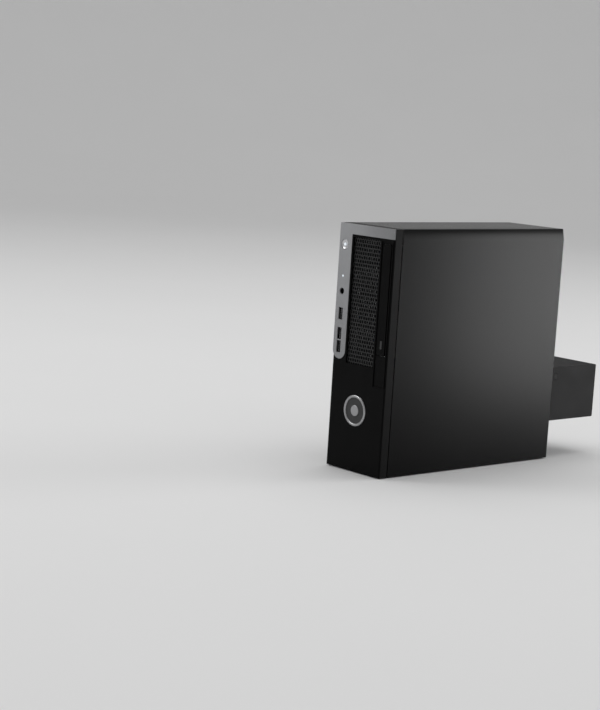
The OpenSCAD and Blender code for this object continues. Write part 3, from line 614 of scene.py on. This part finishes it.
def cross_screw(bm, place, radius, height):
    """Pan-head screw with a cross recess; its seat is at the place's origin."""
    steps = 36
    flat = radius * 0.62
    arm = radius * 0.5
    slit = radius * 0.13

    def ring(r, h):
        turns = [2 * math.pi * k / steps for k in range(steps)]
        return [bm.verts.new(place @ Vector((r * math.cos(a), r * math.sin(a), h))) for a in turns]

    def join(low, high):
        for k in range(len(low)):
            nxt = (k + 1) % len(low)
            bm.faces.new((low[k], low[nxt], high[nxt], high[k]))

    rims = [ring(radius * 0.97, 0), ring(radius, height * 0.18), ring(radius * 0.93, height * 0.6),
            ring(radius * 0.8, height * 0.88), ring(flat, height)]
    for low, high in zip(rims, rims[1:]):
        join(low, high)
    bm.faces.new(reversed(rims[0]))
    outline = [(slit, slit), (arm, slit), (arm, -slit), (slit, -slit), (slit, -arm), (-slit, -arm),
               (-slit, -slit), (-arm, -slit), (-arm, slit), (-slit, slit), (-slit, arm), (slit, arm)]
    mouth = [bm.verts.new(place @ Vector((x, y, height))) for x, y in outline]
    pit = [bm.verts.new(place @ Vector((x * 0.8, y * 0.8, height * 0.35))) for x, y in outline]
    join(pit, mouth)
    bm.faces.new(pit)
    loops = []
    for loop in (rims[-1], mouth):
        for k, vert in enumerate(loop):
            other = loop[(k + 1) % len(loop)]
            loops.append(bm.edges.get((vert, other)) or bm.edges.new((vert, other)))
    bmesh.ops.triangle_fill(bm, use_beauty=True, edges=loops)


def rear_screws():
    """Cross-head screws that hold the supply's fan to the rear panel."""
    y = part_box("chassis_rear_panel")[1].y
    fan_lo, fan_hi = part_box("power_supply_fan_frame")
    x = (fan_lo.x + fan_hi.x) / 2
    z = (fan_lo.z + fan_hi.z) / 2
    corners = ((-1, -1), (-1, 1), (1, 1))  # the fourth lies under the side cover's rear flange
    spots = [(x + sx * 21 * MM, z + sz * 21 * MM) for sx, sz in corners]
    bm = bmesh.new()
    for sx, sz in spots:
        cross_screw(bm, facing_rear(sx, y, sz), 2.9 * MM, 0.95 * MM)
    piece = new_piece("supply_screws", bm, "screw_steel", "chassis")
    piece.data.set_sharp_from_angle(angle=math.radians(35))


rear_screws()


def wire_ring(bm, place, radius, wire, steps=72, sides=8):
    """A ring of round wire about the place's Z."""
    rows = []
    for k in range(steps):
        a = 2 * math.pi * k / steps
        row = []
        for j in range(sides):
            b = 2 * math.pi * j / sides
            r = radius + wire * math.cos(b)
            row.append(bm.verts.new(place @ Vector((r * math.cos(a), r * math.sin(a), wire * math.sin(b)))))
        rows.append(row)
    for k in range(steps):
        for j in range(sides):
            nxt = (k + 1) % steps
            bm.faces.new((rows[k][j], rows[nxt][j], rows[nxt][(j + 1) % sides], rows[k][(j + 1) % sides]))


def wire_bar(bm, start, end, wire, sides=8):
    """A straight round wire with domed ends."""
    start, end = Vector(start), Vector(end)
    turn = (end - start).to_track_quat("Z", "Y").to_matrix().to_4x4()
    place = Matrix.Translation(start) @ turn
    length = (end - start).length
    profile = [(0, 0), (wire * 0.7, wire * 0.15), (wire, wire * 0.6), (wire, length - wire * 0.6),
               (wire * 0.7, length - wire * 0.15), (0, length)]
    lathe(bm, profile, place, sides)


def supply_guard():
    """Bent-wire finger guard over the supply fan's vents."""
    lo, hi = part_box("power_supply_fan_frame")
    x, z = (lo.x + hi.x) / 2, (lo.z + hi.z) / 2
    wire = 0.5 * MM
    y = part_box("chassis_rear_panel")[1].y + wire * 1.05
    bm = bmesh.new()
    for radius in (6.5, 11, 15.5, 20):
        wire_ring(bm, facing_rear(x, y, z), radius * MM, wire)
    for k in range(4):
        a = math.radians(45 + 90 * k)
        near = Vector((x + 5.6 * MM * math.cos(a), y + 0.1 * MM, z + 5.6 * MM * math.sin(a)))
        far = Vector((x + 26.5 * MM * math.cos(a), y + 0.1 * MM, z + 26.5 * MM * math.sin(a)))
        wire_bar(bm, near, far, wire)
    new_piece("supply_finger_guard", bm, "port_metal", "chassis")


supply_guard()


# ---------------------------------------------------------------- studio


def plain(name, colour, rough):
    p = Paint(name, rough=rough, specular=0.2)
    p.colour(p.mix(p.noise(0.4, 2.0), grey(colour * 0.985), grey(colour * 1.01)))
    return p.material


def make_floor():
    """Pale floor that rises into a round backdrop far outside every camera."""
    flat = 4.0
    curve = 2.0
    bm = bmesh.new()
    bend = [math.radians(a) for a in range(0, 91, 10)]
    profile = [(flat + curve * math.sin(a), curve * (1 - math.cos(a))) for a in bend]
    lathe(bm, [(0, 0), *profile, (flat + curve, 2.1)], Matrix.Identity(4), 96)
    bmesh.ops.recalc_face_normals(bm, faces=bm.faces)
    mesh = bpy.data.meshes.new("floor")
    bm.to_mesh(mesh)
    bm.free()
    for polygon in mesh.polygons:
        polygon.use_smooth = True
    floor = bpy.data.objects.new("floor", mesh)
    bpy.context.scene.collection.objects.link(floor)
    mesh.materials.append(plain("floor_pale", 0.8, 0.8))


def area_light(name, place, target, size, power):
    """A soft box of size metres at place, turned to target; power is in watts."""
    data = bpy.data.lights.new(name, "AREA")
    data.shape = "RECTANGLE"
    data.size, data.size_y = size
    data.energy = power
    light = bpy.data.objects.new(name, data)
    light.location = place
    light.rotation_euler = (Vector(target) - Vector(place)).to_track_quat("-Z", "Y").to_euler()
    light.visible_camera = False
    bpy.context.scene.collection.objects.link(light)
    return light


def only_on(light, nodes):
    """Keeps a light to the given CAD nodes, so that it draws its soft sheen on the black paint alone.

    Only those nodes block it, so part of it may stand below the floor's level. It is sampled as a light
    only: rays that bounce off the paint would meet the floor first and cut the sheen short.
    """
    group = bpy.data.collections.new(light.name + "_painted")
    for name in nodes:
        group.objects.link(frame["nodes"][name])
    light.light_linking.receiver_collection = group
    light.light_linking.blocker_collection = group
    light.data.cycles.use_multiple_importance_sampling = False


def make_studio():
    world = bpy.data.worlds.new("studio")
    bpy.context.scene.world = world
    world.use_nodes = True
    background = world.node_tree.nodes["Background"]
    background.inputs["Color"].default_value = (1, 1, 1, 1)
    background.inputs["Strength"].default_value = 0.45
    sheen = area_light("sheen", (1.07, 1.37, 0.125), (0.11, 1.1, 0.125), (0.6, 0.58), 14.2)
    only_on(sheen, ("side_cover", "cable_cover", "front_bezel"))
    area_light("rear_soft", (1.2, 2.9, 1.6), (0, 0.1, 0.2), (1.6, 1.2), 22)
    area_light("front_soft", (-2.2, -2.6, 1.7), (0, -0.1, 0.25), (1.4, 1.4), 25)
    area_light("overhead", (-0.3, 0.2, 3.4), (0, 0, 0), (3.0, 3.0), 42)
    bpy.context.scene.view_settings.view_transform = "Standard"


make_floor()
make_studio()
